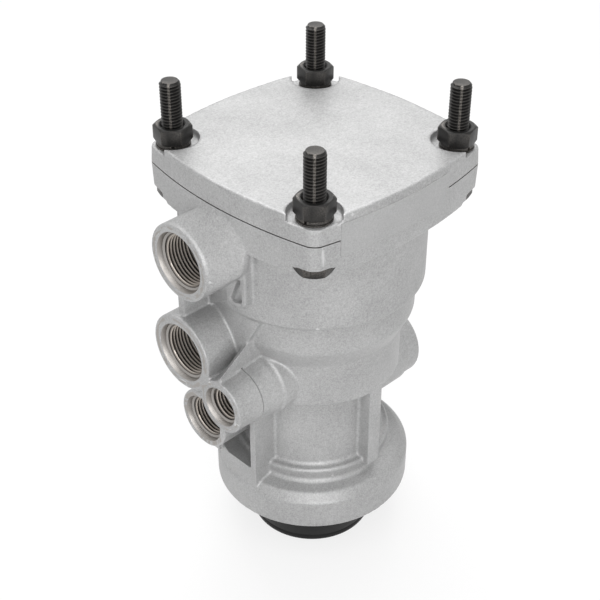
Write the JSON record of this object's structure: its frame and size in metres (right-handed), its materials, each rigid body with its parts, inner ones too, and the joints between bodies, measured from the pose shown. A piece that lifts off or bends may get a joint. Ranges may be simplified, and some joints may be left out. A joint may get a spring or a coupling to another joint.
{
  "type": "trailer control valve",
  "caption": "Pneumatic trailer control valve: square-topped cast housing with mounting studs, threaded side ports, stepped drum and black exhaust ring below.",
  "frame": {"origin": "centre of the four mounting studs, on the plane of their nuts' top faces", "axes": "+Z along the studs, away from the valve; the four ports in a group point along -X"},
  "size_m": [0.1083, 0.1001, 0.2074],
  "materials": {
    "cast_aluminium": "die cast, blasted",
    "black_steel": "black phosphated",
    "label_foil": "satin foil",
    "turned_aluminium": "machined",
    "brass": "machined",
    "spring_steel": "bright",
    "seal_rubber": "matte",
    "black_plastic": "satin"
  },
  "bodies": {
    "housing": {"body_casting": "cast_aluminium", "top_cover": "cast_aluminium", "cover_seal": "seal_rubber", "clamp_bolts": "black_steel", "clamp_nuts": "black_steel", "lock_washers": "black_steel", "blank_label": "label_foil", "relay_return_spring": "spring_steel", "stop_ring": "spring_steel", "hand_brake_spring": "spring_steel", "guide_insert": "turned_aluminium", "guide_insert_outer_seal": "seal_rubber", "guide_insert_inner_seal": "seal_rubber", "guide_insert_ring": "spring_steel", "bottom_plate": "turned_aluminium", "bottom_plate_seal": "seal_rubber", "bottom_plate_ring": "spring_steel", "exhaust_foot": "black_plastic", "exhaust_flap": "seal_rubber", "flap_button": "black_plastic"},
    "relay_piston_body": {"relay_piston": "turned_aluminium", "relay_piston_seal": "seal_rubber"},
    "hand_brake_body": {"hand_brake_piston": "turned_aluminium", "hand_brake_piston_seals": "seal_rubber", "valve_guide": "black_plastic", "valve_guide_seal": "seal_rubber", "valve_guide_ring": "spring_steel", "valve_spring": "spring_steel"},
    "valve_body": {"valve_sleeve": "brass", "valve_face": "seal_rubber"}
  },
  "joints": [
    {"name": "relay_piston_slide", "type": "slide", "parent": "housing", "child": "relay_piston_body", "axis": [0, 0, -1], "range_m": [0, 0.002], "deforming": ["relay_return_spring"]},
    {"name": "hand_brake_slide", "type": "slide", "parent": "housing", "child": "hand_brake_body", "axis": [0, 0, -1], "range_m": [0, 0.0024], "deforming": ["hand_brake_spring"]},
    {"name": "valve_slide", "type": "slide", "parent": "hand_brake_body", "child": "valve_body", "axis": [0, 0, -1], "range_m": [0, 0.002], "deforming": ["valve_spring"]}
  ],
  "couplings": [
    {"joint": "valve_slide", "follows": "relay_piston_slide", "ratio": 1}
  ]
}
